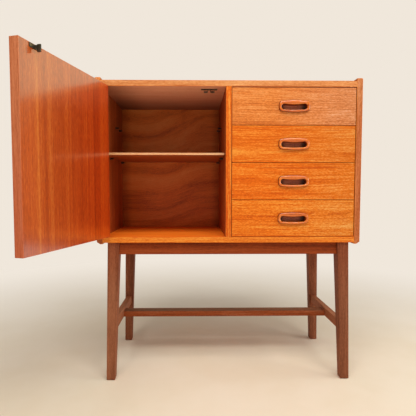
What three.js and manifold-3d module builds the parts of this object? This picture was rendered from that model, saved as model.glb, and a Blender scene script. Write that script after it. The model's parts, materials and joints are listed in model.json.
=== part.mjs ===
// Small teak cabinet on an open stand: a cupboard with one side-hung door and a loose shelf on
// the left, four drawers on side-hung runners on the right, and a stand of four tapered legs
// tied by aprons and an H of stretchers. The door is drawn swung open, the drawers shut.
// Millimetres. x runs left to right across the front, y runs front to back, z runs up.

import * as THREE from 'three';
import { mergeVertices } from 'three/addons/utils/BufferGeometryUtils.js';
import Module from 'manifold-3d';

const wasm = await Module();
wasm.setup();

// ---------------------------------------------------------------- driving dimensions

const FIT_GAP = 0.3; // left between glued or touching faces
const OVERCUT = 1; // cutters run this far past the faces they open
const WELD = 1e-4; // vertices closer than this are one
const BOARD = 18; // case boards
const ROD_SIDES = 12;
const CURVE_STEPS = 6;

const CASE_WIDTH = 820;
const CASE_DEPTH = 352;
const STAND_HEIGHT = 440;
const CASE_TOP = 938; // upper face of the top board
const SIDE_RISE = 8; // side boards stand this far above the top board
const SIDE_DROP = 4.3; // and hang this far below the bottom board
const SIDE_TOP_ROUND = 4.5;
const SIDE_FOOT_CHAMFER_X = 10;
const SIDE_FOOT_CHAMFER_Z = 6.5;
const DIVIDER_OFFSET = -1.5; // centre of the divider from the centre of the case
const BACK_THICKNESS = 5;
const BACK_INSET = 11; // rear face of the back board from the rear edge of the case
const TONGUE_LENGTH = 6;
const TONGUE_THICKNESS = 8;
const TONGUE_SETBACK = 12; // ends of a tongue from the front and back edges

const SHELF_THICKNESS = 8;
const SHELF_UNDERSIDE = 713.5;
const SHELF_SETBACK = 26;
const SHELF_REAR_GAP = 2;
const SHELF_SIDE_GAP = 1.9; // clears the collars of the pins
const PIN_RADIUS = 3;
const PIN_SHANK_RADIUS = 2.5;
const PIN_COLLAR_RADIUS = 4.5;
const PIN_COLLAR = 1.2;
const PIN_REACH = 12; // length standing out of the board
const PIN_CHAMFER = 1;
const PIN_BURIED = 9;
const PIN_DEPTHS = [120, 312];
const SPARE_HOLE_DEPTHS = [213, 275]; // holes for the pins of a second shelf
const SPARE_HOLE_HEIGHT = 827.5;

const DOOR_THICKNESS = 22;
const FACE_RECESS = 1.5; // door and drawer faces sit this far behind the case edges
const DOOR_FREE_GAP = 1.6;
const DOOR_END_GAP = 1.6;
const DOOR_OPEN_DEGREES = 105.2;

const LEAF_THICKNESS = 0.75;
const LEAF_WIDTH = 16;
const LEAF_BRIDGE = 2; // how far a leaf reaches into its own knuckles
const KNUCKLE_RADIUS = 2.5;
const KNUCKLE_BORE = 1.45;
const HINGE_PIN_RADIUS = 1.2;
const KNUCKLE_PITCH = 25;
const KNUCKLE_COUNT = 18;
const KNUCKLE_GAP = 0.4;

const CATCH_CENTRE_X = -60.5;
const CATCH_FRONT = 30;
const CATCH_DEPTH = 12;
const CATCH_WIDTH = 51;
const CATCH_PLATE = 1.4;
const JAW_HALF_GAP = 3.4;
const JAW_DROP = 10;
const JAW_OUT = 13.5;
const JAW_THICKNESS = 1.5;
const JAW_BEND = 4.5;
const JAW_FOOT = 3; // thickness of the out-turned foot
const JAW_CROOK = 5.5; // height over which the upright runs into the foot
const STRIKE_SHIFT = -0.9; // the strike swings in on an arc, so it sits off the catch's centre
const STRIKE_WIDTH = 34;
const STRIKE_HEIGHT = 9.5;
const STRIKE_BELOW_DOOR_TOP = 1.8;
const STRIKE_PLATE = 1.5;
const STRIKE_NECK = 2.4;
const STRIKE_NECK_MARGIN = 1; // neck shorter than the plate at each end
const STRIKE_REACH = 17;
const STRIKE_HEAD_WIDTH = 4;
const STRIKE_HEAD_LENGTH = 9.5;
const STRIKE_HEAD_HEIGHT = 16;

const DRAWER_COUNT = 4;
const DRAWER_FRONT_THICKNESS = 20;
const DRAWER_SIDE_GAP = 1.4;
const DRAWER_BETWEEN_GAP = 1.6;
const DRAWER_LOWEST_GAP = 1.5;
const DRAWER_HIGHEST_GAP = 2.8;
const DRAWER_SIDE = 12;
const DRAWER_BOX_GAP = 2; // drawer side to case wall
const DRAWER_BOX_DROP = 8; // underside of the drawer side above the lower edge of the front
const DRAWER_BOX_HEIGHT = 92;
const DRAWER_BOX_REAR = 322;
const DRAWER_BACK_SETBACK = 4;
const DRAWER_BOTTOM = 4;
const DRAWER_BOTTOM_RISE = 10;
const DRAWER_HOUSING = 8; // sides enter the front
const DRAWER_GROOVE = 4; // bottom and back enter the sides
const RUNNER_HEIGHT = 12;
const RUNNER_THICKNESS = 7;
const RUNNER_RISE = 56; // centre of the runner above the lower edge of the front
const RUNNER_FRONT = 34;
const RUNNER_REAR = 326;
const RUNNER_GROOVE_DEPTH = 6;

const PULL_WIDTH = 95;
const PULL_END_HEIGHT = 31.5;
const PULL_BULGE = 3;
const PULL_CORNER = 11;
const PULL_PROUD = 7;
const PULL_BEVEL = 3.2;
const PULL_BEVEL_STEPS = 3;
const RIM_TRIM = 10; // clears the bevel off the rear of the rim
const PLUG_INSET = 4;
const RECESS_WIDTH = 79.5;
const RECESS_HEIGHT = 17.6;
const RECESS_CORNER = 8.7;
const RECESS_LIP_SAG = 2.5; // the upper lip hangs lower at its middle
const RECESS_FLOOR_SAG = 1;
const RECESS_BELOW_CENTRE = 1.5;
const RECESS_DEPTH = 20;
const PLUG_REAR_SETBACK = 1;

const LEG_TOP = 36.2;
const LEG_FOOT = 26.5;
const LEG_TOP_OUTER_X = 378;
const LEG_FOOT_OUTER_X = 386.6;
const LEG_TOP_INSET_Y = 6.5; // outer face behind the case edge
const LEG_FOOT_INSET_Y = 3;
const FOOT_CHAMFER = 3.5;
const APRON_HEIGHT = 38;
const APRON_THICKNESS = 20;
const APRON_RECESS = 6;
const TENON_LENGTH = 12;
const TENON_THICKNESS = 10;
const TENON_SHOULDER = 5;
const TENON_ROOT = 2; // a tenon starts this far inside its own rail
const STRETCHER_UNDERSIDE = 154;
const SIDE_STRETCHER_HEIGHT = 29;
const SIDE_STRETCHER_THICKNESS = 20;
const CENTRE_STRETCHER_HEIGHT = 19;
const CENTRE_STRETCHER_DEPTH = 40;
const STRETCHER_TENON_LENGTH = 11;

// ---------------------------------------------------------------- derived places

const outerX = CASE_WIDTH / 2;
const innerX = outerX - BOARD;
const caseFloor = STAND_HEIGHT + FIT_GAP;
const openingBottom = caseFloor + BOARD;
const openingTop = CASE_TOP - BOARD;
const dividerLeft = DIVIDER_OFFSET - BOARD / 2;
const dividerRight = DIVIDER_OFFSET + BOARD / 2;
const backRear = CASE_DEPTH - BACK_INSET;
const backFront = backRear - BACK_THICKNESS;

const hingeStack = 2 * LEAF_THICKNESS + 3 * FIT_GAP;
const pivotX = -innerX + hingeStack / 2;
const pivotY = -(KNUCKLE_RADIUS + FIT_GAP);
const doorLeft = -innerX + hingeStack;
const doorRight = dividerLeft - DOOR_FREE_GAP;
const doorInner = FACE_RECESS + DOOR_THICKNESS;
const doorBottom = openingBottom + DOOR_END_GAP;
const doorTop = openingTop - DOOR_END_GAP;
const hingeLength = KNUCKLE_COUNT * KNUCKLE_PITCH;
const hingeBottom = (doorBottom + doorTop - hingeLength) / 2;

const frontLeft = dividerRight + DRAWER_SIDE_GAP;
const frontRight = innerX - DRAWER_SIDE_GAP;
const drawerSpan = openingTop - DRAWER_HIGHEST_GAP - openingBottom - DRAWER_LOWEST_GAP;
const frontHeight = (drawerSpan - (DRAWER_COUNT - 1) * DRAWER_BETWEEN_GAP) / DRAWER_COUNT;
const frontRear = FACE_RECESS + DRAWER_FRONT_THICKNESS;

const apronBottom = STAND_HEIGHT - APRON_HEIGHT;

// ---------------------------------------------------------------- materials

const wood = (color, roughness) => new THREE.MeshStandardMaterial({ color, roughness, metalness: 0 });
const metal = (color, roughness) => new THREE.MeshStandardMaterial({ color, roughness, metalness: 1 });

const caseTeak = wood(0xc4682c, 0.42);
const doorTeak = wood(0xb65423, 0.38);
const backVeneer = wood(0x7a3a20, 0.5);
const shelfVeneer = wood(0x8a3c1e, 0.5);
const standTeak = wood(0x6e3420, 0.45);
const pullTeak = wood(0x9a4a26, 0.32);
const drawerBoxWood = wood(0xb98a5a, 0.6);
const runnerWood = wood(0xa87c4e, 0.6);
const hingeSteel = metal(0xb08a4a, 0.35);
const catchSteel = metal(0x4a463c, 0.5);

// ---------------------------------------------------------------- solid helpers

// A block is [x0, x1, y0, y1, z0, z1].
function block([x0, x1, y0, y1, z0, z1]) {
  const geometry = new THREE.BoxGeometry(x1 - x0, y1 - y0, z1 - z0);
  geometry.translate((x0 + x1) / 2, (y0 + y1) / 2, (z0 + z1) / 2);
  return geometry;
}

// The same block, larger by the fit gap on every side: the socket for it.
function socket([x0, x1, y0, y1, z0, z1]) {
  return block([x0 - FIT_GAP, x1 + FIT_GAP, y0 - FIT_GAP, y1 + FIT_GAP, z0 - FIT_GAP, z1 + FIT_GAP]);
}

// The same block on the other side of the plane x = 0.
function mirrored([x0, x1, ...rest]) {
  return [-x1, -x0, ...rest];
}

// A straight-sided solid through rectangular sections [x0, x1, y0, y1, z], lowest first.
function loft(sections) {
  const corners = sections.flatMap(([x0, x1, y0, y1, z]) => [
    x0, y0, z, x1, y0, z, x1, y1, z, x0, y1, z,
  ]);
  const faces = [0, 2, 1, 0, 3, 2];
  for (let level = 0; level < sections.length - 1; level += 1) {
    const base = 4 * level;
    for (let side = 0; side < 4; side += 1) {
      const here = base + side;
      const next = base + ((side + 1) % 4);
      faces.push(here, next, next + 4, here, next + 4, here + 4);
    }
  }
  const top = 4 * (sections.length - 1);
  faces.push(top, top + 1, top + 2, top, top + 2, top + 3);
  const geometry = new THREE.BufferGeometry();
  geometry.setAttribute('position', new THREE.Float32BufferAttribute(corners, 3));
  geometry.setIndex(faces);
  return geometry;
}

// A cylinder along z, y or x from the given centre of its lower end.
function rod(radius, length, [x, y, z], axis = 'z') {
  const geometry = new THREE.CylinderGeometry(radius, radius, length, ROD_SIDES);
  if (axis === 'z') geometry.rotateX(Math.PI / 2);
  if (axis === 'x') geometry.rotateZ(-Math.PI / 2);
  geometry.translate(
    x + (axis === 'x' ? length / 2 : 0),
    y + (axis === 'y' ? length / 2 : 0),
    z + (axis === 'z' ? length / 2 : 0),
  );
  return geometry;
}

// An outline drawn in x and z, extruded from y = front back to y = rear.
function slab(shape, front, rear, options = {}) {
  const geometry = new THREE.ExtrudeGeometry(shape, {
    depth: rear - front,
    bevelEnabled: false,
    curveSegments: CURVE_STEPS,
    ...options,
  });
  geometry.rotateX(Math.PI / 2);
  geometry.translate(0, rear, 0);
  return geometry;
}

function toManifold(geometry) {
  const bare = geometry.clone();
  bare.deleteAttribute('normal');
  bare.deleteAttribute('uv');
  const merged = mergeVertices(bare, WELD);
  return new wasm.Manifold(new wasm.Mesh({
    numProp: 3,
    vertProperties: new Float32Array(merged.attributes.position.array),
    triVerts: new Uint32Array(merged.index.array),
  }));
}

function toGeometry(manifold) {
  const mesh = manifold.getMesh();
  const geometry = new THREE.BufferGeometry();
  geometry.setAttribute('position', new THREE.BufferAttribute(new Float32Array(mesh.vertProperties), 3));
  geometry.setIndex(new THREE.BufferAttribute(new Uint32Array(mesh.triVerts), 1));
  geometry.computeVertexNormals();
  return geometry;
}

// Joins the first list of geometries, then cuts the second list out of them.
function carve(joined, cutters = []) {
  let solid = toManifold(joined[0]);
  for (const geometry of joined.slice(1)) solid = solid.add(toManifold(geometry));
  for (const geometry of cutters) solid = solid.subtract(toManifold(geometry));
  return toGeometry(solid);
}

function piece(parent, name, geometry, material) {
  const mesh = new THREE.Mesh(geometry, material);
  mesh.name = name;
  parent.add(mesh);
  return mesh;
}

// ---------------------------------------------------------------- case

const tongueY = [TONGUE_SETBACK, CASE_DEPTH - 2 * TONGUE_SETBACK];

// The tongue on the right-hand end of a level board, running into the right-hand side board.
function endTongue(boardBottom) {
  const low = boardBottom + (BOARD - TONGUE_THICKNESS) / 2;
  return [innerX - 2 * FIT_GAP, innerX + TONGUE_LENGTH, ...tongueY, low, low + TONGUE_THICKNESS];
}

// The tongue on the top or bottom edge of the divider.
function dividerTongue(boardFace, direction) {
  const x0 = DIVIDER_OFFSET - TONGUE_THICKNESS / 2;
  const inside = boardFace - direction * 2 * FIT_GAP;
  const tip = boardFace + direction * TONGUE_LENGTH;
  return [x0, x0 + TONGUE_THICKNESS, ...tongueY, Math.min(inside, tip), Math.max(inside, tip)];
}

const backBoard = [
  -innerX - TONGUE_LENGTH, innerX + TONGUE_LENGTH,
  backFront, backRear,
  openingBottom - TONGUE_LENGTH, openingTop + TONGUE_LENGTH,
];

// Outline of a side board across its thickness; side is 1 for the right-hand one, -1 for the left.
function sideOutline(side) {
  const top = CASE_TOP + SIDE_RISE;
  const bottom = caseFloor - SIDE_DROP;
  const roundX = outerX - SIDE_TOP_ROUND;
  const roundStart = side > 0 ? 0 : Math.PI;
  const outline = new THREE.Shape();
  outline.moveTo(side * innerX, bottom);
  outline.lineTo(side * (outerX - SIDE_FOOT_CHAMFER_X), bottom);
  outline.lineTo(side * outerX, bottom + SIDE_FOOT_CHAMFER_Z);
  outline.lineTo(side * outerX, top - SIDE_TOP_ROUND);
  outline.absarc(side * roundX, top - SIDE_TOP_ROUND, SIDE_TOP_ROUND, roundStart, Math.PI / 2, side < 0);
  outline.lineTo(side * innerX, top);
  outline.closePath();
  return outline;
}

function pinPlaces() {
  const z = SHELF_UNDERSIDE - FIT_GAP - PIN_RADIUS;
  const rows = [{ row: 'front', y: PIN_DEPTHS[0] }, { row: 'back', y: PIN_DEPTHS[1] }];
  return rows.flatMap(({ row, y }) => [
    { name: `shelf_pin_left_${row}`, wall: -innerX, out: 1, y, z },
    { name: `shelf_pin_right_${row}`, wall: dividerLeft, out: -1, y, z },
  ]);
}

function spareHoles() {
  return SPARE_HOLE_DEPTHS.flatMap((y) => [
    { wall: -innerX, out: 1, y, z: SPARE_HOLE_HEIGHT },
    { wall: dividerLeft, out: -1, y, z: SPARE_HOLE_HEIGHT },
  ]);
}

// The holes for shelf pins in the board whose face stands at x = wall.
function pinHolesIn(wall) {
  return [...pinPlaces(), ...spareHoles()].filter((hole) => hole.wall === wall).map(pinHole);
}

function pinHole({ wall, out, y, z }) {
  const depth = PIN_BURIED + FIT_GAP;
  const start = out > 0 ? wall - depth : wall - OVERCUT;
  return rod(PIN_SHANK_RADIUS + FIT_GAP, depth + OVERCUT, [start, y, z], 'x');
}

function shelfPin({ wall, out, y, z }) {
  const profile = [
    [0, -PIN_BURIED],
    [PIN_SHANK_RADIUS, -PIN_BURIED],
    [PIN_SHANK_RADIUS, FIT_GAP],
    [PIN_COLLAR_RADIUS, FIT_GAP],
    [PIN_COLLAR_RADIUS, FIT_GAP + PIN_COLLAR],
    [PIN_RADIUS, FIT_GAP + PIN_COLLAR],
    [PIN_RADIUS, PIN_REACH - PIN_CHAMFER],
    [PIN_RADIUS - PIN_CHAMFER, PIN_REACH],
    [0, PIN_REACH],
  ].map(([radius, along]) => new THREE.Vector2(radius, along));
  const geometry = new THREE.LatheGeometry(profile, ROD_SIDES);
  geometry.rotateZ(out > 0 ? -Math.PI / 2 : Math.PI / 2);
  geometry.translate(wall, y, z);
  return geometry;
}

function addSideBoards(parent) {
  const boardTongues = [endTongue(caseFloor), endTongue(openingTop)];
  for (const [name, side] of [['side_left', -1], ['side_right', 1]]) {
    const tongues = side > 0 ? boardTongues : boardTongues.map(mirrored);
    const board = slab(sideOutline(side), 0, CASE_DEPTH);
    const cuts = [...tongues.map(socket), socket(backBoard), ...pinHolesIn(side * innerX)];
    piece(parent, name, carve([board], cuts), caseTeak);
  }
}

function addLevelBoards(parent) {
  const span = [-innerX + FIT_GAP, innerX - FIT_GAP, 0, CASE_DEPTH];
  const boards = [
    { name: 'top_board', bottom: openingTop, face: openingTop, direction: 1 },
    { name: 'bottom_board', bottom: caseFloor, face: openingBottom, direction: -1 },
  ];
  for (const { name, bottom, face, direction } of boards) {
    const tongue = endTongue(bottom);
    const joined = [[...span, bottom, bottom + BOARD], tongue, mirrored(tongue)].map(block);
    const cutters = [socket(backBoard), socket(dividerTongue(face, direction))];
    piece(parent, name, carve(joined, cutters), caseTeak);
  }
}

function addDivider(parent) {
  const heights = [openingBottom + FIT_GAP, openingTop - FIT_GAP];
  const body = [dividerLeft, dividerRight, 0, backFront - FIT_GAP, ...heights];
  const joined = [body, dividerTongue(openingTop, 1), dividerTongue(openingBottom, -1)].map(block);
  piece(parent, 'divider', carve(joined, pinHolesIn(dividerLeft)), caseTeak);
}

function addShelf(parent) {
  const x0 = -innerX + SHELF_SIDE_GAP;
  const x1 = dividerLeft - SHELF_SIDE_GAP;
  const heights = [SHELF_UNDERSIDE, SHELF_UNDERSIDE + SHELF_THICKNESS];
  const board = [x0, x1, SHELF_SETBACK, backFront - SHELF_REAR_GAP, ...heights];
  piece(parent, 'shelf', block(board), shelfVeneer);
  for (const pin of pinPlaces()) piece(parent, pin.name, shelfPin(pin), catchSteel);
}

// A spring jaw is a bent strip: down from the plate beside the strike's path, then outwards.
function jawOutline(side) {
  const x = (away) => CATCH_CENTRE_X + side * (JAW_HALF_GAP + away);
  const top = openingTop - FIT_GAP - CATCH_PLATE / 2;
  const low = openingTop - JAW_DROP;
  const outline = new THREE.Shape();
  outline.moveTo(x(0), top);
  outline.lineTo(x(0), low + JAW_BEND);
  outline.quadraticCurveTo(x(0), low, x(JAW_BEND), low);
  outline.lineTo(x(JAW_OUT - JAW_FOOT / 2), low);
  outline.quadraticCurveTo(x(JAW_OUT), low, x(JAW_OUT), low + JAW_FOOT / 2);
  outline.quadraticCurveTo(x(JAW_OUT), low + JAW_FOOT, x(JAW_OUT - JAW_FOOT / 2), low + JAW_FOOT);
  outline.lineTo(x(JAW_BEND), low + JAW_FOOT);
  outline.quadraticCurveTo(x(JAW_THICKNESS), low + JAW_FOOT, x(JAW_THICKNESS), low + JAW_CROOK);
  outline.lineTo(x(JAW_THICKNESS), top);
  outline.closePath();
  return outline;
}

function addCatch(parent) {
  const rear = CATCH_FRONT + CATCH_DEPTH;
  const plateTop = openingTop - FIT_GAP;
  const plate = [
    CATCH_CENTRE_X - CATCH_WIDTH / 2, CATCH_CENTRE_X + CATCH_WIDTH / 2,
    CATCH_FRONT, rear, plateTop - CATCH_PLATE, plateTop,
  ];
  const jaws = [-1, 1].map((side) => slab(jawOutline(side), CATCH_FRONT, rear));
  piece(parent, 'catch', carve([block(plate), ...jaws]), catchSteel);
}

// ---------------------------------------------------------------- door, in its shut place

// Knuckles alternate between the two leaves; first is 0 for the case leaf, 1 for the door leaf.
function hingeLeaf(first, x0, y1) {
  const joined = [block([x0, x0 + LEAF_THICKNESS, 0, y1, hingeBottom, hingeBottom + hingeLength])];
  for (let knuckle = first; knuckle < KNUCKLE_COUNT; knuckle += 2) {
    const low = hingeBottom + knuckle * KNUCKLE_PITCH + KNUCKLE_GAP / 2;
    const high = low + KNUCKLE_PITCH - KNUCKLE_GAP;
    joined.push(block([x0, x0 + LEAF_THICKNESS, -LEAF_BRIDGE, FIT_GAP, low, high]));
    joined.push(rod(KNUCKLE_RADIUS, high - low, [pivotX, pivotY, low]));
  }
  const bore = rod(KNUCKLE_BORE, hingeLength + 2 * OVERCUT, [pivotX, pivotY, hingeBottom - OVERCUT]);
  return carve(joined, [bore]);
}

function addStrike(parent) {
  const x = CATCH_CENTRE_X + STRIKE_SHIFT;
  const top = doorTop - STRIKE_BELOW_DOOR_TOP;
  const low = top - STRIKE_HEIGHT;
  const face = doorInner + FIT_GAP;
  const headFront = face + STRIKE_REACH - STRIKE_HEAD_LENGTH;
  const plate = [x - STRIKE_WIDTH / 2, x + STRIKE_WIDTH / 2, face, face + STRIKE_PLATE, low, top];
  const neck = [
    x - STRIKE_NECK / 2, x + STRIKE_NECK / 2, face, headFront + OVERCUT,
    low + STRIKE_NECK_MARGIN, top - STRIKE_NECK_MARGIN,
  ];
  const half = STRIKE_HEAD_WIDTH / 2;
  const headRear = headFront + STRIKE_HEAD_LENGTH;
  const head = new THREE.Shape();
  head.moveTo(x, headFront);
  head.quadraticCurveTo(x + half, headFront, x + half, headFront + half);
  head.lineTo(x + half, headRear - half);
  head.quadraticCurveTo(x + half, headRear, x, headRear);
  head.quadraticCurveTo(x - half, headRear, x - half, headRear - half);
  head.lineTo(x - half, headFront + half);
  head.quadraticCurveTo(x - half, headFront, x, headFront);
  const upright = new THREE.ExtrudeGeometry(head, {
    depth: STRIKE_HEAD_HEIGHT,
    bevelEnabled: false,
    curveSegments: CURVE_STEPS,
  });
  upright.translate(0, 0, top - STRIKE_HEAD_HEIGHT);
  piece(parent, 'strike', carve([block(plate), block(neck), upright]), catchSteel);
}

function addDoor(parent) {
  const board = [doorLeft, doorRight, FACE_RECESS, doorInner, doorBottom, doorTop];
  const leafLeft = doorLeft - FIT_GAP - LEAF_THICKNESS;
  piece(parent, 'door', block(board), doorTeak);
  piece(parent, 'hinge_door_leaf', hingeLeaf(1, leafLeft, LEAF_WIDTH), hingeSteel);
  addStrike(parent);
}

// ---------------------------------------------------------------- drawers

// An outline centred on (cx, cz) with rounded corners; its upper and lower edges bow outwards.
function cushionOutline(cx, cz, width, height, corner, bowUp, bowDown) {
  const right = width / 2 - corner;
  const half = height / 2;
  const quarter = Math.PI / 2;
  const outline = new THREE.Shape();
  outline.moveTo(cx - right, cz - half);
  outline.quadraticCurveTo(cx, cz - half - 2 * bowDown, cx + right, cz - half);
  outline.absarc(cx + right, cz - half + corner, corner, -quarter, 0);
  outline.absarc(cx + right, cz + half - corner, corner, 0, quarter);
  outline.quadraticCurveTo(cx, cz + half + 2 * bowUp, cx - right, cz + half);
  outline.absarc(cx - right, cz + half - corner, corner, quarter, 2 * quarter);
  outline.absarc(cx - right, cz - half + corner, corner, 2 * quarter, 3 * quarter);
  return outline;
}

// The pull's outline, grown by spare on every side.
function pullOutline(cx, cz, spare) {
  const width = PULL_WIDTH + 2 * spare;
  const height = PULL_END_HEIGHT + 2 * spare;
  return cushionOutline(cx, cz, width, height, PULL_CORNER + spare, PULL_BULGE, PULL_BULGE);
}

// The pull is a rimmed cup let through the drawer front, hollowed for the fingers.
function pull(cx, cz) {
  const rimFront = FACE_RECESS - PULL_PROUD;
  const rimRear = FACE_RECESS - FIT_GAP;
  const rim = slab(pullOutline(cx, cz, 0), rimFront + PULL_BEVEL, rimRear + PULL_BEVEL, {
    bevelEnabled: true,
    bevelThickness: PULL_BEVEL,
    bevelSize: PULL_BEVEL,
    bevelOffset: -PULL_BEVEL,
    bevelSegments: PULL_BEVEL_STEPS,
  });
  const behind = [
    cx - PULL_WIDTH, cx + PULL_WIDTH, rimRear, rimRear + RIM_TRIM, cz - PULL_WIDTH, cz + PULL_WIDTH,
  ];
  const plugFront = rimRear - OVERCUT;
  const plug = slab(pullOutline(cx, cz, -PLUG_INSET), plugFront, frontRear - PLUG_REAR_SETBACK);
  const recessZ = cz - RECESS_BELOW_CENTRE;
  const recessSize = [RECESS_WIDTH, RECESS_HEIGHT, RECESS_CORNER];
  const recessOutline = cushionOutline(cx, recessZ, ...recessSize, -RECESS_LIP_SAG, RECESS_FLOOR_SAG);
  const recess = slab(recessOutline, rimFront - OVERCUT, rimFront + RECESS_DEPTH);
  return carve([carve([rim], [block(behind)]), plug], [recess]);
}

// Lower edge of a drawer front; number 1 is the top drawer.
function frontLow(number) {
  const below = DRAWER_COUNT - number;
  return openingBottom + DRAWER_LOWEST_GAP + below * (frontHeight + DRAWER_BETWEEN_GAP);
}

function addDrawer(parent, number) {
  const name = (part) => `drawer_${number}_${part}`;
  const low = frontLow(number);
  const boxLeft = dividerRight + DRAWER_BOX_GAP;
  const boxRight = innerX - DRAWER_BOX_GAP;
  const sideLow = low + DRAWER_BOX_DROP;
  const sideHigh = sideLow + DRAWER_BOX_HEIGHT;
  const sideFront = frontRear - DRAWER_HOUSING;
  const bottomLow = sideLow + DRAWER_BOTTOM_RISE;
  const bottomHigh = bottomLow + DRAWER_BOTTOM;
  const backRearFace = DRAWER_BOX_REAR - DRAWER_BACK_SETBACK;
  const acrossInside = [
    boxLeft + DRAWER_SIDE - DRAWER_GROOVE, boxRight - DRAWER_SIDE + DRAWER_GROOVE,
  ];
  const bottom = [...acrossInside, frontRear - DRAWER_GROOVE, backRearFace, bottomLow, bottomHigh];
  const back = [
    ...acrossInside, backRearFace - DRAWER_SIDE, backRearFace,
    bottomHigh + FIT_GAP, sideHigh - DRAWER_BACK_SETBACK,
  ];

  const cx = (frontLeft + frontRight) / 2;
  const cz = low + frontHeight / 2;
  const board = [frontLeft, frontRight, FACE_RECESS, frontRear, low, low + frontHeight];
  const rebate = (x0, x1) => block([
    x0, x1, sideFront - FIT_GAP, frontRear + OVERCUT, sideLow - FIT_GAP, sideHigh + FIT_GAP,
  ]);
  const slotOutline = pullOutline(cx, cz, FIT_GAP - PLUG_INSET);
  const slot = slab(slotOutline, FACE_RECESS - OVERCUT, frontRear + OVERCUT);
  const frontCuts = [
    slot,
    rebate(frontLeft - OVERCUT, boxLeft + DRAWER_SIDE + FIT_GAP),
    rebate(boxRight - DRAWER_SIDE - FIT_GAP, frontRight + OVERCUT),
    socket(bottom),
  ];
  piece(parent, name('front'), carve([block(board)], frontCuts), caseTeak);
  piece(parent, name('pull'), pull(cx, cz), pullTeak);

  const grooveLow = low + RUNNER_RISE - RUNNER_HEIGHT / 2 - 2 * FIT_GAP;
  const grooveHigh = low + RUNNER_RISE + RUNNER_HEIGHT / 2 + FIT_GAP;
  const sides = [
    { part: 'left', x0: boxLeft, groove: [boxLeft - OVERCUT, boxLeft + RUNNER_GROOVE_DEPTH] },
    {
      part: 'right',
      x0: boxRight - DRAWER_SIDE,
      groove: [boxRight - RUNNER_GROOVE_DEPTH, boxRight + OVERCUT],
    },
  ];
  for (const { part, x0, groove } of sides) {
    const side = [x0, x0 + DRAWER_SIDE, sideFront, DRAWER_BOX_REAR, sideLow, sideHigh];
    const grooveSpan = [RUNNER_FRONT - OVERCUT, DRAWER_BOX_REAR + OVERCUT];
    const runnerGroove = [...groove, ...grooveSpan, grooveLow, grooveHigh];
    const cuts = [socket(bottom), socket(back), block(runnerGroove)];
    piece(parent, name(part), carve([block(side)], cuts), drawerBoxWood);
  }
  piece(parent, name('back'), block(back), drawerBoxWood);
  piece(parent, name('bottom'), block(bottom), drawerBoxWood);
}

function addRunners(parent, number) {
  const low = frontLow(number);
  const heights = [low + RUNNER_RISE - RUNNER_HEIGHT / 2, low + RUNNER_RISE + RUNNER_HEIGHT / 2];
  const walls = [
    ['left', dividerRight + FIT_GAP, dividerRight + RUNNER_THICKNESS],
    ['right', innerX - RUNNER_THICKNESS, innerX - FIT_GAP],
  ];
  for (const [wall, x0, x1] of walls) {
    const strip = [x0, x1, RUNNER_FRONT, RUNNER_REAR, ...heights];
    piece(parent, `runner_${number}_${wall}`, block(strip), runnerWood);
  }
}

// ---------------------------------------------------------------- stand

const between = (foot, top, z) => foot + ((top - foot) * z) / STAND_HEIGHT;
const legWidth = (z) => between(LEG_FOOT, LEG_TOP, z);
const legOuterX = (z) => between(LEG_FOOT_OUTER_X, LEG_TOP_OUTER_X, z);
const legInnerX = (z) => legOuterX(z) - legWidth(z);
const legInsetY = (z) => between(LEG_FOOT_INSET_Y, LEG_TOP_INSET_Y, z);
const legReachY = (z) => legInsetY(z) + legWidth(z); // inner face, from the near case edge

// A leg's section at height z, drawn in by margin; the signs pick one of the four corners.
function legSection(right, rear, z, margin = 0) {
  const near = legInnerX(z) + margin;
  const far = legOuterX(z) - margin;
  const front = legInsetY(z) + margin;
  const back = legReachY(z) - margin;
  const across = right ? [near, far] : [-far, -near];
  const along = rear ? [CASE_DEPTH - back, CASE_DEPTH - front] : [front, back];
  return [...across, ...along, z];
}

const apronTenonZ = [apronBottom + TENON_SHOULDER, STAND_HEIGHT - TENON_SHOULDER];
const apronFrontY = LEG_TOP_INSET_Y + APRON_RECESS;
const apronOuterX = LEG_TOP_OUTER_X - APRON_RECESS;
const apronMidY = apronFrontY + APRON_THICKNESS / 2;
const apronMidX = apronOuterX - APRON_THICKNESS / 2;
const stretcherMidX = legOuterX(STRETCHER_UNDERSIDE) - legWidth(STRETCHER_UNDERSIDE) / 2;
const stretcherInnerX = stretcherMidX - SIDE_STRETCHER_THICKNESS / 2;
const halfTenon = TENON_THICKNESS / 2;

// Tenons for the front right-hand corner; the other corners mirror them.
const frontApronTenon = [
  legInnerX(STAND_HEIGHT) - TENON_ROOT, legInnerX(STAND_HEIGHT) + TENON_LENGTH,
  apronMidY - halfTenon, apronMidY + halfTenon, ...apronTenonZ,
];
const sideApronTenon = [
  apronMidX - halfTenon, apronMidX + halfTenon,
  legReachY(STAND_HEIGHT) - TENON_LENGTH, legReachY(STAND_HEIGHT) + TENON_ROOT, ...apronTenonZ,
];
const sideStretcherTenon = [
  stretcherMidX - halfTenon, stretcherMidX + halfTenon,
  legReachY(STRETCHER_UNDERSIDE) - TENON_LENGTH, legReachY(STRETCHER_UNDERSIDE) + TENON_ROOT,
  STRETCHER_UNDERSIDE + TENON_SHOULDER, STRETCHER_UNDERSIDE + SIDE_STRETCHER_HEIGHT - TENON_SHOULDER,
];
const centreTenon = [
  stretcherInnerX - TENON_ROOT, stretcherInnerX + STRETCHER_TENON_LENGTH,
  (CASE_DEPTH - CENTRE_STRETCHER_DEPTH) / 2 + TENON_SHOULDER,
  (CASE_DEPTH + CENTRE_STRETCHER_DEPTH) / 2 - TENON_SHOULDER,
  STRETCHER_UNDERSIDE + TENON_SHOULDER, STRETCHER_UNDERSIDE + CENTRE_STRETCHER_HEIGHT - TENON_SHOULDER,
];

// The same block at the back of the stand.
function rearwards([x0, x1, y0, y1, ...heights]) {
  return [x0, x1, CASE_DEPTH - y1, CASE_DEPTH - y0, ...heights];
}

function atCorner(tenon, right, rear) {
  const across = right ? tenon : mirrored(tenon);
  return rear ? rearwards(across) : across;
}

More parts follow.
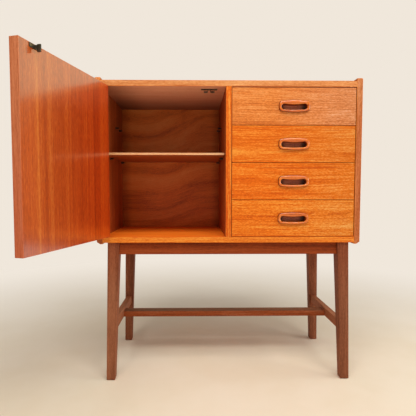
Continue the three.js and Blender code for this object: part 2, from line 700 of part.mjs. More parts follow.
function addLegs(parent) {
  for (const [along, rear] of [['front', false], ['back', true]]) {
    for (const [across, right] of [['left', false], ['right', true]]) {
      const leg = loft([
        legSection(right, rear, 0, FOOT_CHAMFER),
        legSection(right, rear, FOOT_CHAMFER),
        legSection(right, rear, STAND_HEIGHT),
      ]);
      const tenons = [frontApronTenon, sideApronTenon, sideStretcherTenon];
      const mortises = tenons.map((tenon) => socket(atCorner(tenon, right, rear)));
      piece(parent, `leg_${along}_${across}`, carve([leg], mortises), standTeak);
    }
  }
}

function addAprons(parent) {
  for (const [name, rear] of [['apron_front', false], ['apron_back', true]]) {
    const rail = loft([apronBottom, STAND_HEIGHT].map((z) => {
      const reach = legInnerX(z) - FIT_GAP;
      const depth = [apronFrontY, apronFrontY + APRON_THICKNESS];
      const section = [-reach, reach, ...depth, z];
      return rear ? rearwards(section) : section;
    }));
    const tenons = [true, false].map((right) => block(atCorner(frontApronTenon, right, rear)));
    piece(parent, name, carve([rail, ...tenons]), standTeak);
  }
  for (const [name, right] of [['apron_left', false], ['apron_right', true]]) {
    const rail = loft([apronBottom, STAND_HEIGHT].map((z) => {
      const reach = legReachY(z) + FIT_GAP;
      const section = [apronOuterX - APRON_THICKNESS, apronOuterX, reach, CASE_DEPTH - reach, z];
      return right ? section : mirrored(section);
    }));
    const tenons = [true, false].map((rear) => block(atCorner(sideApronTenon, right, rear)));
    piece(parent, name, carve([rail, ...tenons]), standTeak);
  }
}

function addStretchers(parent) {
  const sideTop = STRETCHER_UNDERSIDE + SIDE_STRETCHER_HEIGHT;
  for (const [name, right] of [['stretcher_left', false], ['stretcher_right', true]]) {
    const rail = loft([STRETCHER_UNDERSIDE, sideTop].map((z) => {
      const reach = legReachY(z) + FIT_GAP;
      const across = [stretcherInnerX, stretcherInnerX + SIDE_STRETCHER_THICKNESS];
      const section = [...across, reach, CASE_DEPTH - reach, z];
      return right ? section : mirrored(section);
    }));
    const tenons = [true, false].map((rear) => block(atCorner(sideStretcherTenon, right, rear)));
    const mortise = socket(atCorner(centreTenon, right, false));
    piece(parent, name, carve([rail, ...tenons], [mortise]), standTeak);
  }
  const reach = stretcherInnerX - FIT_GAP;
  const front = (CASE_DEPTH - CENTRE_STRETCHER_DEPTH) / 2;
  const heights = [STRETCHER_UNDERSIDE, STRETCHER_UNDERSIDE + CENTRE_STRETCHER_HEIGHT];
  const bar = [-reach, reach, front, front + CENTRE_STRETCHER_DEPTH, ...heights];
  const joined = [bar, centreTenon, mirrored(centreTenon)].map(block);
  piece(parent, 'stretcher_centre', carve(joined), standTeak);
}

// ---------------------------------------------------------------- whole cabinet

const cabinet = new THREE.Group();
addSideBoards(cabinet);
addLevelBoards(cabinet);
addDivider(cabinet);
piece(cabinet, 'back_board', block(backBoard), backVeneer);
addShelf(cabinet);
addCatch(cabinet);
addLegs(cabinet);
addAprons(cabinet);
addStretchers(cabinet);

piece(cabinet, 'hinge_case_leaf', hingeLeaf(0, -innerX + FIT_GAP, LEAF_WIDTH), hingeSteel);
const hingePin = rod(HINGE_PIN_RADIUS, hingeLength, [pivotX, pivotY, hingeBottom]);
piece(cabinet, 'hinge_pin', hingePin, hingeSteel);

for (let number = 1; number <= DRAWER_COUNT; number += 1) {
  addDrawer(cabinet, number);
  addRunners(cabinet, number);
}

// The door is built shut, then swung about the hinge pin.
const swing = new THREE.Group();
swing.position.set(pivotX, pivotY, 0);
swing.rotation.z = -THREE.MathUtils.degToRad(DOOR_OPEN_DEGREES);
const shutDoor = new THREE.Group();
shutDoor.position.set(-pivotX, -pivotY, 0);
addDoor(shutDoor);
swing.add(shutDoor);
cabinet.add(swing);

// The origin is on the floor under the middle of the whole cabinet, open door included.
const bounds = new THREE.Box3().setFromObject(cabinet);
const middle = bounds.getCenter(new THREE.Vector3());
cabinet.position.set(-middle.x, -middle.y, 0);

const group = new THREE.Group();
group.add(cabinet);
export default group;
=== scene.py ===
"""Small teak cabinet on a stand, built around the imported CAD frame. Metres, row frame, +Z up."""

import json
import math

import bmesh
import bpy
from mathutils import Matrix, Vector


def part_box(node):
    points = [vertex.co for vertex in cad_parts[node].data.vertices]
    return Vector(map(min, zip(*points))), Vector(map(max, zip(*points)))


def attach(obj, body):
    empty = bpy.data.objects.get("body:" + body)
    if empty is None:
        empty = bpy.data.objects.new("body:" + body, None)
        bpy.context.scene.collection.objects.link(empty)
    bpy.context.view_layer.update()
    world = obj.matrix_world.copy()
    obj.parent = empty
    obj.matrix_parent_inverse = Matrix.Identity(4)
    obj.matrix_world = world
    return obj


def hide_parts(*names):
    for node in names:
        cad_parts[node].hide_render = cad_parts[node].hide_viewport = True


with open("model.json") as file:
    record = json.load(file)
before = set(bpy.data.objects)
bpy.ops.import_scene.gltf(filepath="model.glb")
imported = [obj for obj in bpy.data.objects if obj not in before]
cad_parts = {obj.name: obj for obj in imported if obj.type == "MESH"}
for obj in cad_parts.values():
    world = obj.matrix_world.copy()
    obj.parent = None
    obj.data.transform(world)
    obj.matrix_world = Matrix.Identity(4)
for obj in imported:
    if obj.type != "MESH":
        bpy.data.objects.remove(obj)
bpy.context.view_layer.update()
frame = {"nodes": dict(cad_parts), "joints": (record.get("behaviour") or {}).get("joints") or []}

MM = 0.001
X, Y, Z = Vector((1, 0, 0)), Vector((0, 1, 0)), Vector((0, 0, 1))

# ------------------------------------------------------------------ places taken from the frame

joints = {joint["name"]: joint for joint in frame["joints"]}
HINGE = Vector(joints["door_hinge"]["pos_m"])
OPEN_ANGLE = math.radians(joints["door_hinge"]["range_deg"][1])  # from shut to the rest pose
OPENED = Matrix.Rotation(-OPEN_ANGLE, 3, "Z")
DOOR_WIDE = OPENED @ X  # from the hinge edge to the free edge
DOOR_IN = OPENED @ Y  # out of the door's inner face

case_low, case_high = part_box("side_left")[0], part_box("side_right")[1]
CASE_FRONT = case_low.y
CUPBOARD_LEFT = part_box("side_left")[1].x
CUPBOARD_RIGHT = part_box("divider")[0].x
CASE_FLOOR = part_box("bottom_board")[1].z
CASE_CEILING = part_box("top_board")[0].z

DRAWERS = (1, 2, 3, 4)


# ------------------------------------------------------------------ node graphs


def linear(red, green, blue):
    """An sRGB colour, 0 to 255, as the linear RGBA that a shader takes."""

    def channel(value):
        value /= 255
        return value / 12.92 if value <= 0.04045 else ((value + 0.055) / 1.055) ** 2.4

    return (channel(red), channel(green), channel(blue), 1)


class Graph:
    """A material's node tree, with a method for each node that the finishes use."""

    def __init__(self, name):
        self.material = bpy.data.materials.new(name)
        self.material.use_nodes = True
        self.tree = self.material.node_tree
        self.tree.nodes.clear()

    def node(self, kind, inputs=(), **settings):
        made = self.tree.nodes.new(kind)
        for key, value in settings.items():
            setattr(made, key, value)
        for key, value in dict(inputs).items():
            if isinstance(value, bpy.types.NodeSocket):
                self.tree.links.new(value, made.inputs[key])
            else:
                made.inputs[key].default_value = value
        return made

    def place(self):
        return self.node("ShaderNodeTexCoord").outputs["Object"]

    def math(self, operation, first, second=0.0):
        inputs = {0: first, 1: second}
        return self.node("ShaderNodeMath", inputs, operation=operation).outputs[0]

    def vector(self, operation, first, second):
        made = self.node("ShaderNodeVectorMath", {0: first, 1: second}, operation=operation)
        return made.outputs["Value" if operation == "DOT_PRODUCT" else "Vector"]

    def noise(self, vector, detail=2.0, roughness=0.5, distortion=0.0):
        inputs = {
            "Vector": vector, "Scale": 1.0, "Detail": detail,
            "Roughness": roughness, "Distortion": distortion,
        }
        return self.node("ShaderNodeTexNoise", inputs).outputs[0]

    def between(self, value, low, high):
        """0 below low, 1 above high, smooth in between."""
        inputs = {"Value": value, "From Min": low, "From Max": high}
        made = self.node("ShaderNodeMapRange", inputs, interpolation_type="SMOOTHSTEP")
        return made.outputs["Result"]

    def ramp(self, value, stops):
        made = self.node("ShaderNodeValToRGB", {"Fac": value})
        elements = made.color_ramp.elements
        while len(elements) < len(stops):
            elements.new(0.5)
        for element, (position, colour) in zip(elements, stops):
            element.position = position
            element.color = colour
        return made.outputs["Color"]

    def mix(self, factor, first, second, blend="MIX"):
        made = self.node("ShaderNodeMix", {0: factor, 6: first, 7: second},
                         data_type="RGBA", blend_type=blend)
        return made.outputs[2]

    def bump(self, height, strength, distance):
        inputs = {"Height": height, "Strength": strength, "Distance": distance}
        return self.node("ShaderNodeBump", inputs).outputs["Normal"]

    def finish(self, inputs):
        shader = self.node("ShaderNodeBsdfPrincipled", inputs)
        output = self.node("ShaderNodeOutputMaterial")
        self.tree.links.new(shader.outputs[0], output.inputs[0])
        return self.material


# ------------------------------------------------------------------ wood


WOOD = {
    "along": X,  # direction of the grain
    "across": Z,  # across the grain, in the face that shows most
    "seed": 0.0,
    "dark": linear(190, 68, 4), "mid": linear(229, 113, 13), "light": linear(248, 168, 66),
    "band_scale": (1.2, 30.0),  # broad growth bands: per metre along and across the grain
    "bands": 0.30,
    "line_scale": (6.0, 300.0),  # fine growth lines
    "lines": 0.45,
    "fleck_scale": (130.0, 440.0),  # short wavy flecks
    "flecks": 0.55,
    "fibres": 0.25,
    "veins": 0.6,  # thin dark lines, here and there
    "vein_scale": (3.0, 190.0),
    "pores": 0.4,
    "wander": 0.010,  # how far the grain strays, in metres
    "wander_scale": (2.0, 6.0),
    "roughness": 0.45,
    "coat": 0.06,
    "coat_roughness": 0.22,
    "coat_ior": 1.5,
    "specular": 0.15,
    "relief": 0.25,
    "drifts": (),  # (axis, start, end, tint): slow changes of colour along an axis, mostly painted light and shade
    "swoop": None,  # (start, end, rise): the grain rises across itself between two places along it
}
FIBRE_SCALE = (22.0, 1300.0)
PORE_SCALE = (60.0, 900.0)
PORE_EDGE = (0.60, 0.72)
VEIN_EDGE = (0.60, 0.70)
VEIN_PATCH_SCALE = (2.5, 14.0)
VEIN_PATCH_EDGE = (0.50, 0.66)
RELIEF_DEPTH = 0.15 * MM
SEED_STEP = Vector((3.7, 5.3, 2.9))
TONE_PLACES = (0.1, 0.5, 0.9)  # of the dark, middle and light colours
GLOSS_SPREAD = 0.2


def centred(graph, value, weight):
    """A value from 0 to 1 as one that swings about 0, by half the weight each way."""
    return graph.math("MULTIPLY", graph.math("SUBTRACT", value, 0.5), weight)


def wood(name, *looks, **changes):
    """A wood finish: WOOD, changed by each of the looks in turn, and then by the keyword values."""
    look = dict(WOOD)
    for part in (*looks, changes):
        look.update(part)
    along, across = Vector(look["along"]), Vector(look["across"])
    graph = Graph(name)
    place = graph.place()
    axes = (along, across, along.cross(across))
    parts = [graph.vector("DOT_PRODUCT", place, tuple(axis)) for axis in axes]
    if look["swoop"]:
        start, end, rise = look["swoop"]
        lift = graph.math("MULTIPLY", graph.between(parts[0], start, end), rise)
        parts[1] = graph.math("SUBTRACT", parts[1], lift)
    space = graph.node("ShaderNodeCombineXYZ", dict(enumerate(parts))).outputs[0]
    space = graph.vector("ADD", space, tuple(SEED_STEP * look["seed"]))

    def noise(start, scale, detail=2.0, roughness=0.55, distortion=0.0):
        stretched = graph.vector("MULTIPLY", start, (scale[0], scale[1], scale[1]))
        return graph.noise(stretched, detail, roughness, distortion)

    stray = centred(graph, noise(space, look["wander_scale"], detail=1.0), 2 * look["wander"])
    shift = graph.node("ShaderNodeCombineXYZ", {1: stray, 2: stray}).outputs[0]
    warped = graph.vector("ADD", space, shift)

    layers = {
        "bands": noise(warped, look["band_scale"]),
        "lines": noise(warped, look["line_scale"]),
        "flecks": noise(
            warped, look["fleck_scale"], detail=3.0, roughness=0.6, distortion=0.5,
        ),
        "fibres": noise(warped, FIBRE_SCALE, detail=1.0),
    }
    tone = 0.5
    for layer, value in layers.items():
        tone = graph.math("ADD", centred(graph, value, 2 * look[layer]), tone)
    tones = (look["dark"], look["mid"], look["light"])
    colour = graph.ramp(tone, tuple(zip(TONE_PLACES, tones)))

    veins = graph.between(noise(warped, look["vein_scale"], detail=1.0), *VEIN_EDGE)
    patches = graph.between(noise(space, VEIN_PATCH_SCALE, detail=1.0), *VEIN_PATCH_EDGE)
    pores = graph.between(noise(space, PORE_SCALE, detail=1.0), *PORE_EDGE)
    veined = graph.math("MULTIPLY", graph.math("MULTIPLY", veins, patches), look["veins"])
    stained = graph.math("ADD", graph.math("MULTIPLY", pores, look["pores"]), veined)
    colour = graph.mix(stained, colour, look["dark"])
    # drifts: mostly painted light and shade
    for axis, start, end, tint in look["drifts"]:
        along_axis = graph.vector("DOT_PRODUCT", place, tuple(axis))
        colour = graph.mix(graph.between(along_axis, start, end), colour, tint, "MULTIPLY")

    height = graph.math("SUBTRACT", graph.math("ADD", layers["fibres"], layers["lines"]), pores)
    gloss = graph.math("ADD", centred(graph, layers["fibres"], GLOSS_SPREAD), look["roughness"])
    return graph.finish({
        "Base Color": colour,
        "Roughness": gloss,
        "Specular IOR Level": look["specular"],
        "Coat Weight": look["coat"],
        "Coat Roughness": look["coat_roughness"],
        "Coat IOR": look["coat_ior"],
        "Normal": graph.bump(height, look["relief"], RELIEF_DEPTH),
    })


# the top board's front edge: paler and duller than the other teak, as painted sheen
teak_top_edge = wood(
    "teak_top_edge", seed=0.5, dark=linear(170, 88, 38), mid=linear(218, 138, 78),
    light=linear(240, 178, 118),
)
teak_level = wood("teak_level", mid=linear(232, 126, 34))
teak_upright = wood("teak_upright", along=Z, across=X, seed=1.0, mid=linear(228, 106, 16))
edge_left = wood(
    "edge_left", along=Z, across=X, seed=1.2, dark=linear(170, 84, 30),
    mid=linear(226, 130, 62), light=linear(244, 172, 108),
    drifts=(  # painted highlight makes the upper end paler, painted shade makes the lower end darker
        (Z, CASE_CEILING + 0.012, case_high.z - 0.004, (1.12, 1.35, 1.7, 1)),
        (-Z, -CASE_FLOOR - 0.004, -CASE_FLOOR + 0.010, (0.52, 0.40, 0.36, 1)),
    ),
)
edge_right = wood(
    "edge_right", along=Z, across=X, seed=1.5, dark=linear(134, 58, 22),
    mid=linear(182, 96, 46), light=linear(210, 130, 80),
    drifts=((Z, CASE_CEILING - 0.12, CASE_CEILING, (1.16, 1.5, 1.9, 1)),),  # painted highlight: paler at the top
)
teak_side = wood("teak_side", along=Z, across=Y, seed=2.0, mid=linear(214, 116, 44))
teak_top = wood("teak_top", along=X, across=Y, seed=3.0)
FRONT_PAINTED_SHEEN = {"drifts": ((X, 0.14, 0.46, (0.90, 1.12, 2.2, 1)),)}  # painted sheen: paler towards the right
teak_fronts = {
    # drawer 1's paler, duller tones are painted sheen
    1: wood("teak_drawer_1", FRONT_PAINTED_SHEEN, seed=4.0, dark=linear(176, 84, 30), mid=linear(224, 128, 54),
            light=linear(242, 170, 100), veins=0.4, wander=0.014),
    2: wood("teak_drawer_2", FRONT_PAINTED_SHEEN, seed=5.0, flecks=0.45, veins=0.7, mid=linear(226, 108, 13)),
    3: wood("teak_drawer_3", FRONT_PAINTED_SHEEN, seed=6.0, veins=0.8, lines=0.50, mid=linear(233, 110, 10)),
    4: wood("teak_drawer_4", FRONT_PAINTED_SHEEN, seed=7.0, flecks=0.65, veins=0.4, mid=linear(234, 117, 15)),
}

INTERIOR = {
    "dark": linear(110, 46, 16), "mid": linear(170, 82, 34), "light": linear(204, 116, 62),
    "bands": 0.3, "lines": 0.25, "flecks": 0.2, "veins": 0.2, "pores": 0.25,
    "roughness": 0.5, "coat": 0.1, "specular": 0.12,
}
inside_upright = wood("inside_upright", INTERIOR, along=Z, across=Y, seed=8.0)
# paler than the other inside faces: painted light, standing in for light bounced in from below
inside_ceiling = wood(
    "inside_ceiling", INTERIOR, along=X, across=Y, seed=9.0,
    dark=linear(222, 136, 100), mid=linear(254, 188, 146), light=linear(255, 210, 172),
    drifts=(  # painted shade: darker towards the rear and the hinge
        (Y, 0.12, 0.36, (0.42, 0.38, 0.36, 1)),
        (-X, 0.22, 0.36, (0.50, 0.42, 0.38, 1)),
    ),
)
inside_floor = wood(
    "inside_floor", INTERIOR, along=X, across=Y, seed=10.0,
    dark=linear(224, 84, 14), mid=linear(255, 126, 28), light=linear(255, 158, 60),
    coat=0.0,
)
CORNER_SHADE = (0.6, 0.5, 0.4, 1)  # painted shade: the back is darker beside the cupboard's two walls
back_veneer = wood(
    "back_veneer", INTERIOR, seed=11.0, bands=0.5, lines=0.2, flecks=0.12, wander=0.05,
    wander_scale=(2.6, 1.8), band_scale=(0.7, 26.0), swoop=(-0.30, -0.02, 0.045),
    dark=linear(150, 66, 24), mid=linear(226, 124, 50), light=linear(244, 160, 84),
    drifts=((X, -0.01, 0.03, CORNER_SHADE), (-X, 0.31, 0.355, CORNER_SHADE)),
)
back_ply = wood(
    "back_ply", along=X, across=Z, seed=11.5, dark=linear(154, 94, 50),
    mid=linear(210, 146, 90), light=linear(226, 174, 122), roughness=0.7, coat=0.0,
)
shelf_face = wood("shelf_face", INTERIOR, along=X, across=Y, seed=12.0, coat=0.3)
shelf_lip = wood(
    "shelf_lip", seed=13.0, dark=linear(214, 146, 92), mid=linear(238, 186, 136),
    light=linear(248, 214, 170), bands=0.2, veins=0.1,
)

HINGE_PLACE = HINGE.dot(DOOR_WIDE)  # along the door's width
RIBBON = {
    "along": Z, "across": DOOR_WIDE,
    "dark": linear(132, 46, 10), "mid": linear(190, 82, 24), "light": linear(220, 128, 52),
    "bands": 0.34, "band_scale": (0.25, 44.0), "line_scale": (1.0, 180.0), "lines": 0.26,
    "flecks": 0.36, "fleck_scale": (70.0, 380.0), "veins": 0.1, "wander": 0.003,
    "roughness": 0.34, "coat": 1.0, "coat_roughness": 0.17, "coat_ior": 2.1, "specular": 0.3,
}
door_inside = wood(
    "door_inside", RIBBON, seed=14.0,
    # painted bounce light: redder from the free edge towards the hinge, as if lit by the orange case
    # front
    drifts=((-DOOR_WIDE, -HINGE_PLACE - 0.34, -HINGE_PLACE - 0.02, (1.0, 0.57, 0.27, 1)),),
)
door_outside = wood("door_outside", along=Z, across=DOOR_WIDE, seed=15.0)
door_lipping = wood(
    "door_lipping", along=Z, across=DOOR_IN, seed=16.0, dark=linear(154, 70, 32),
    mid=linear(202, 118, 76), light=linear(220, 142, 100), bands=0.2, flecks=0.25, veins=0.0,
    drifts=((-Z, -CASE_CEILING, -CASE_FLOOR, (0.95, 0.68, 0.62, 1)),),  # deeper towards its foot
)

STAND = {
    "dark": linear(88, 42, 24), "mid": linear(152, 90, 60), "light": linear(182, 118, 84),
    "bands": 0.4, "lines": 0.3, "flecks": 0.3, "veins": 0.4, "roughness": 0.6, "coat": 0.0,
    "specular": 0.12,
}
APRON = {"dark": linear(84, 28, 8), "mid": linear(146, 62, 22), "light": linear(170, 84, 40)}
stand_upright = wood(
    "stand_upright", STAND, along=Z, across=X, seed=17.0, mid=linear(142, 84, 57),
    drifts=((Z, 0.25, case_low.z, (0.86, 0.66, 0.56, 1)),),  # painted shade: darker towards the case above
)
apron_level = wood("apron_level", STAND, APRON, along=X, across=Z, seed=17.5)
apron_deep = wood("apron_deep", STAND, APRON, along=Y, across=Z, seed=17.7)
stretcher_level = wood(
    "stretcher_level", STAND, along=X, across=Z, seed=18.0, mid=linear(154, 74, 34),
)
# painted shade: the centre stretcher's upper faces are darker, shaded by the case above
stretcher_top_painted_shade = wood("stretcher_top_painted_shade", STAND, along=X, across=Y, seed=18.5, mid=linear(118, 66, 40))
stretcher_deep = wood("stretcher_deep", STAND, along=Y, across=Z, seed=19.0)

pull_rim = wood(
    "pull_rim", seed=20.0, dark=linear(150, 58, 6), mid=linear(222, 106, 16),
    light=linear(244, 150, 50), bands=0.4, flecks=0.3, veins=0.3, roughness=0.35, coat=0.9,
    coat_roughness=0.14, coat_ior=1.6, specular=0.2, band_scale=(3.0, 90.0),
)
# painted shade for the rim's outer edge and the walls of the hollow's mouth
pull_painted_shade = wood(
    "pull_painted_shade", seed=20.2, dark=linear(70, 20, 5), mid=linear(124, 42, 12),
    light=linear(150, 62, 22), bands=0.4, coat=0.0, band_scale=(3.0, 90.0),
)
pull_low, pull_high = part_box("drawer_1_pull")
HOLLOW_PAINTED_SHADE = (0.12, 0.09, 0.08, 1)  # painted shade: near black in the ends of the hollow
pull_hollow = wood(
    "pull_hollow", seed=20.5, dark=linear(110, 48, 28), mid=linear(186, 104, 72),
    light=linear(206, 128, 94), roughness=0.5, specular=0.2, coat=0.2,
    drifts=(
        (X, pull_high.x - 0.030, pull_high.x - 0.012, HOLLOW_PAINTED_SHADE),
        (-X, -pull_low.x - 0.026, -pull_low.x - 0.010, HOLLOW_PAINTED_SHADE),
    ),
)

BOX_WOOD = {
    "dark": linear(150, 108, 66), "mid": linear(208, 170, 118), "light": linear(228, 196, 148),
    "bands": 0.35, "lines": 0.35, "flecks": 0.15, "veins": 0.2, "roughness": 0.6, "coat": 0.0,
}
box_deep = wood("box_deep", BOX_WOOD, along=Y, across=Z, seed=21.0)
box_level = wood("box_level", BOX_WOOD, along=X, across=Z, seed=22.0)
box_floor = wood("box_floor", BOX_WOOD, along=X, across=Y, seed=23.0)


# ------------------------------------------------------------------ metal and floor


METAL_PATCH_EDGE = (0.35, 0.65)
METAL_GLOSS_SPREAD = 0.3
SCRATCH_SCALE = (500.0, 500.0, 2600.0)
SCRATCH_STRENGTH = 0.15
SCRATCH_DEPTH = 0.05 * MM


def worn_metal(name, dark, light, roughness, patches=90.0, metallic=1.0):
    """A metal finish in two tones, in patches, with fine scratches."""
    graph = Graph(name)
    place = graph.place()
    spread = graph.vector("MULTIPLY", place, (patches,) * 3)
    blotches = graph.noise(spread, detail=3.0, roughness=0.6)
    scratches = graph.noise(graph.vector("MULTIPLY", place, SCRATCH_SCALE), detail=1.0)
    colour = graph.mix(graph.between(blotches, *METAL_PATCH_EDGE), dark, light)
    return graph.finish({
        "Base Color": colour,
        "Metallic": metallic,
        "Roughness": graph.math("ADD", centred(graph, blotches, METAL_GLOSS_SPREAD), roughness),
        "Normal": graph.bump(scratches, SCRATCH_STRENGTH, SCRATCH_DEPTH),
    })


brass = worn_metal("brass", linear(120, 88, 44), linear(188, 150, 86), 0.38)
bronzed_steel = worn_metal(
    "bronzed_steel", linear(74, 62, 50), linear(128, 112, 94), 0.5, metallic=0.6,
)
dark_steel = worn_metal("dark_steel", linear(46, 40, 34), linear(88, 80, 68), 0.45, metallic=0.7)
screw_steel = worn_metal("screw_steel", linear(96, 84, 62), linear(160, 142, 108), 0.4, 300.0)


WALL_TONE = linear(240, 231, 219)
FLOOR_TONES = linear(244, 232, 208), linear(250, 240, 220)
FLOOR_CLOUD_SCALE = 2.5
FLOOR_CLOUD_EDGE = (0.3, 0.7)
FLOOR_FADE = (0.4, 2.2)  # metres from the middle of the floor, where it turns into the wall's tone
BLACK = (0, 0, 0, 1)


def floor_finish():
    """A pale floor that glows in the wall's tone far from the object, so that no horizon shows."""
    graph = Graph("studio_floor")
    place = graph.place()
    spread = graph.vector("MULTIPLY", place, (FLOOR_CLOUD_SCALE,) * 3)
    cloud = graph.noise(spread, detail=4.0, roughness=0.6)
    colour = graph.mix(graph.between(cloud, *FLOOR_CLOUD_EDGE), *FLOOR_TONES)
    away = graph.node("ShaderNodeVectorMath", {0: place}, operation="LENGTH").outputs["Value"]
    fade = graph.between(away, *FLOOR_FADE)
    return graph.finish({
        "Base Color": graph.mix(fade, colour, BLACK),
        "Roughness": 0.9,
        "Specular IOR Level": 0.0,
        "Emission Color": WALL_TONE,
        "Emission Strength": fade,
    })


# ------------------------------------------------------------------ mesh code

SHARP = math.radians(32)
FLAT = math.radians(1)
FLAT_ENOUGH = 0.995  # cosine: the bands of a rounded arris don't count as the face beside them
WELD = 0.002 * MM
SAME_PLANE = 10 * WELD


def show(name, bm, body, materials, node=None):
    """A finished piece from a bmesh: normals, materials, body and the node it stands for."""
    bmesh.ops.recalc_face_normals(bm, faces=bm.faces)
    mesh = bpy.data.meshes.new(name)
    bm.to_mesh(mesh)
    bm.free()
    for material in materials:
        mesh.materials.append(material)
    piece = bpy.data.objects.new(name, mesh)
    bpy.context.scene.collection.objects.link(piece)
    mesh.shade_smooth()
    mesh.set_sharp_from_angle(angle=SHARP)
    weighted = piece.modifiers.new("weighted", "WEIGHTED_NORMAL")
    weighted.keep_sharp = True
    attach(piece, body)
    if node:
        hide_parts(node)


def welded(node):
    """A bmesh of a CAD node with its vertices welded and its flat faces joined."""
    bm = bmesh.new()
    bm.from_mesh(frame["nodes"][node].data)
    bmesh.ops.remove_doubles(bm, verts=bm.verts, dist=WELD)
    bmesh.ops.dissolve_limit(bm, angle_limit=FLAT, verts=bm.verts, edges=bm.edges)
    return bm


def arris(edge):
    """Whether an edge is a sharp outward corner."""
    return len(edge.link_faces) == 2 and edge.is_convex and edge.calc_face_angle() > SHARP


def shared_planes(edge, low, high):
    """The axes on whose lowest or highest plane both ends of an edge lie."""
    ends = [vertex.co for vertex in edge.verts]
    return {
        axis for axis in range(3) for limit in (low[axis], high[axis])
        if all(abs(end[axis] - limit) < SAME_PLANE for end in ends)
    }


def soften(bm, edges, radius, segments=3):
    """Rounds edges over."""
    if edges:
        bmesh.ops.bevel(bm, geom=edges, offset=radius, segments=segments, profile=0.5,
                        affect="EDGES", clamp_overlap=True)


def outer_edges(bm, outline_axis=None):
    """The arrises of a board's own box; with outline_axis, also all those of its end outlines."""
    low, high = (Vector(map(pick, *(v.co for v in bm.verts))) for pick in (min, max))
    chosen = []
    for edge in filter(arris, bm.edges):
        planes = shared_planes(edge, low, high)
        if len(planes) >= 2 or (outline_axis is not None and outline_axis in planes):
            chosen.append(edge)
    return chosen


def long_edges(bm, shortest):
    """The arrises over a length."""
    return [edge for edge in filter(arris, bm.edges) if edge.calc_length() > shortest]


def paint(bm, rules):
    """Gives each flat face the index of the direction that it looks along; the rest stay at 0."""
    for face in bm.faces:
        face.material_index = 0
        for index, direction in rules:
            if face.normal.dot(direction) > FLAT_ENOUGH:
                face.material_index = index


SLACK = 10 * MM
BOARD_ARRIS = 0.9 * MM
STAND_ARRIS = 1.6 * MM
STAND_EDGE = 60 * MM  # the shortest edge of a leg or rail that is rounded over
BOX_ARRIS = 0.7 * MM


def add_case():
    sides = {"side_left": (X, edge_left), "side_right": (-X, edge_right)}
    for node, (inward, lipping) in sides.items():
        bm = welded(node)
        soften(bm, outer_edges(bm, outline_axis=1), BOARD_ARRIS)
        paint(bm, ((2, -Y),))
        for face in bm.faces:
            within = CASE_FLOOR - SLACK < face.calc_center_median().z < CASE_CEILING + SLACK
            if within and face.normal.dot(inward) > FLAT_ENOUGH:
                face.material_index = 1
        show(f"{node}_board", bm, "case", (teak_side, inside_upright, lipping), node)

    edges = {"top": (-Z, inside_ceiling, teak_top_edge), "bottom": (Z, inside_floor, teak_level)}
    for node, (inward, inside, edge) in edges.items():
        bm = welded(f"{node}_board")
        soften(bm, outer_edges(bm), BOARD_ARRIS)
        paint(bm, ((1, inward), (2, -Y)))
        show(f"{node}_panel", bm, "case", (teak_top, inside, edge), f"{node}_board")

    bm = welded("divider")
    soften(bm, outer_edges(bm), BOARD_ARRIS)
    paint(bm, ((1, -Y),))
    show("divider_panel", bm, "case", (inside_upright, teak_upright), "divider")

    bm = welded("shelf")
    soften(bm, outer_edges(bm), BOARD_ARRIS)
    paint(bm, ((1, -Y),))
    show("shelf_panel", bm, "case", (shelf_face, shelf_lip), "shelf")

    bm = welded("back_board")
    paint(bm, ((1, Y),))
    show("back_panel", bm, "case", (back_veneer, back_ply), "back_board")


def add_door():
    bm = welded("door")
    soften(bm, long_edges(bm, BOARD_ARRIS), BOARD_ARRIS)
    paint(bm, ((1, DOOR_IN), (2, -DOOR_IN)))
    show("door_board", bm, "door", (door_lipping, door_inside, door_outside), "door")


def add_stand():
    for along in ("front", "back"):
        for across in ("left", "right"):
            node = f"leg_{along}_{across}"
            bm = welded(node)
            soften(bm, long_edges(bm, STAND_EDGE), STAND_ARRIS)
            show(f"{node}_post", bm, "case", (stand_upright,), node)
    rails = {
        "apron_front": apron_level, "apron_back": apron_level,
        "apron_left": apron_deep, "apron_right": apron_deep,
        "stretcher_centre": stretcher_level,
        "stretcher_left": stretcher_deep, "stretcher_right": stretcher_deep,
    }
    for node, material in rails.items():
        bm = welded(node)
        soften(bm, long_edges(bm, STAND_EDGE), STAND_ARRIS)
        materials = (material,)
        if node == "stretcher_centre":
            # painted shade: the upper faces take the darker finish
            paint(bm, ((1, Z),))
            materials = (material, stretcher_top_painted_shade)
        show(f"{node}_rail", bm, "case", materials, node)


# ------------------------------------------------------------------ drawers

PULL_CORNER = 11 * MM
PULL_BULGE = 3 * MM
PLUG_INSET = 4 * MM
RECESS_WIDTH = 79.5 * MM
RECESS_HEIGHT = 17.6 * MM
RECESS_CORNER = 8.7 * MM
RECESS_LIP_SAG = 2.5 * MM
RECESS_FLOOR_SAG = 1 * MM
RECESS_BELOW_CENTRE = 1.5 * MM
RECESS_DEPTH = 20 * MM
RIM_PROUD = 7 * MM
RIM_OUTER_WALL = 0.25 * RIM_PROUD  # the roll starts this far in front of the drawer's face
RIM_INNER_WALL = 0.35 * RIM_PROUD  # and ends this far in front of it, at the mouth
ROLL_FULLNESS = 0.7  # 1 is an ellipse, and less is fuller
ROLL_STEPS = 10
SEAT = 0.3 * MM  # the rim starts this far in front of the drawer's face
SCOOP_DEPTH = 6 * MM
SCOOP_FLOOR = (0.86, 0.55)  # the hollow's flat floor, as shares of its mouth
SCOOP_STEPS = 6
EDGE_BANDS = 5  # the first bands of the skin, painted dark as shade: the plug and the rim's outer edge
MOUTH_BANDS = 3  # the first bands of the hollow, painted dark as shade in the same way
CUSHION_STEPS = 24
RING_POINTS = 128


